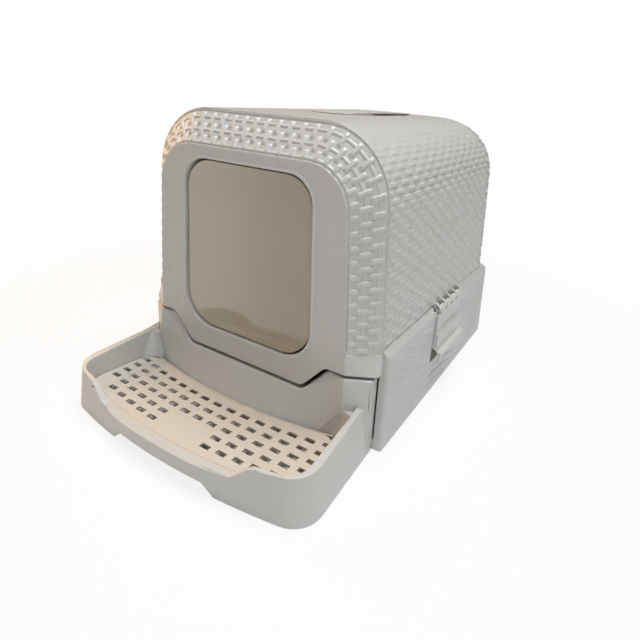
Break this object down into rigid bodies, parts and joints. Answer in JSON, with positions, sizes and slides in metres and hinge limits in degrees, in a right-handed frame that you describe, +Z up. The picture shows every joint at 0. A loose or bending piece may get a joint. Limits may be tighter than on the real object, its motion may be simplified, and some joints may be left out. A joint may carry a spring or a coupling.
{
  "type": "drawer litter box",
  "caption": "Enclosed cat litter box with a lift-off hood, swing flap doorway, side latches, carry handle and a pull-out drawer with a slotted step.",
  "frame": {"origin": "centre of the whole footprint, on the floor", "axes": "+Z up, front with the step towards -Y, +X to the viewer's right"},
  "size_m": [0.4236, 0.6815, 0.392],
  "materials": {
    "housing_plastic": "satin moulded pale warm grey",
    "hood_plastic": "satin moulded pale warm grey, woven relief",
    "grate_plastic": "satin moulded warm grey",
    "pan_plastic": "satin moulded grey",
    "latch_plastic": "satin moulded pale warm grey",
    "smoked_flap": "glossy smoked, see-through",
    "pin_steel": "plain drawn wire"
  },
  "bodies": {
    "base": {"base_shell": "housing_plastic"},
    "drawer": {"drawer_front": "housing_plastic", "litter_tray": "pan_plastic", "drawer_screws": "pin_steel"},
    "grate": {"step_grate": "grate_plastic"},
    "hood": {"hood_shell": "hood_plastic", "front_panel": "hood_plastic", "flap_pin_left": "pin_steel", "flap_pin_right": "pin_steel", "latch_pin_left": "pin_steel", "latch_pin_right": "pin_steel"},
    "flap": {"door_flap": "smoked_flap"},
    "latch_left": {"latch_left": "latch_plastic"},
    "latch_right": {"latch_right": "latch_plastic"},
    "handle": {"carry_handle": "latch_plastic", "handle_pin_front": "pin_steel", "handle_pin_rear": "pin_steel"}
  },
  "joints": [
    {"name": "drawer_slide", "type": "slide", "parent": "base", "child": "drawer", "axis": [0, -1, 0], "range_m": [0, 0.4]},
    {"name": "grate_lift", "type": "slide", "parent": "drawer", "child": "grate", "axis": [0, 0, 1], "range_m": [0, 0.06]},
    {"name": "hood_lift", "type": "slide", "parent": "base", "child": "hood", "axis": [0, 0, 1], "range_m": [0, 0.2]},
    {"name": "flap_swing", "type": "hinge", "parent": "hood", "child": "flap", "pos_m": [0, -0.17735, 0.293], "axis": [1, 0, 0], "range_deg": [-80, 80]},
    {"name": "latch_right_swing", "type": "hinge", "parent": "hood", "child": "latch_right", "pos_m": [0.1942, 0.06475, 0.142], "axis": [0, -1, 0], "range_deg": [0, 100]},
    {"name": "latch_left_swing", "type": "hinge", "parent": "hood", "child": "latch_left", "pos_m": [-0.1942, 0.06475, 0.142], "axis": [0, 1, 0], "range_deg": [0, 100]},
    {"name": "handle_rise", "type": "slide", "parent": "hood", "child": "handle", "axis": [0, 0, 1], "range_m": [0, 0.012]}
  ]
}
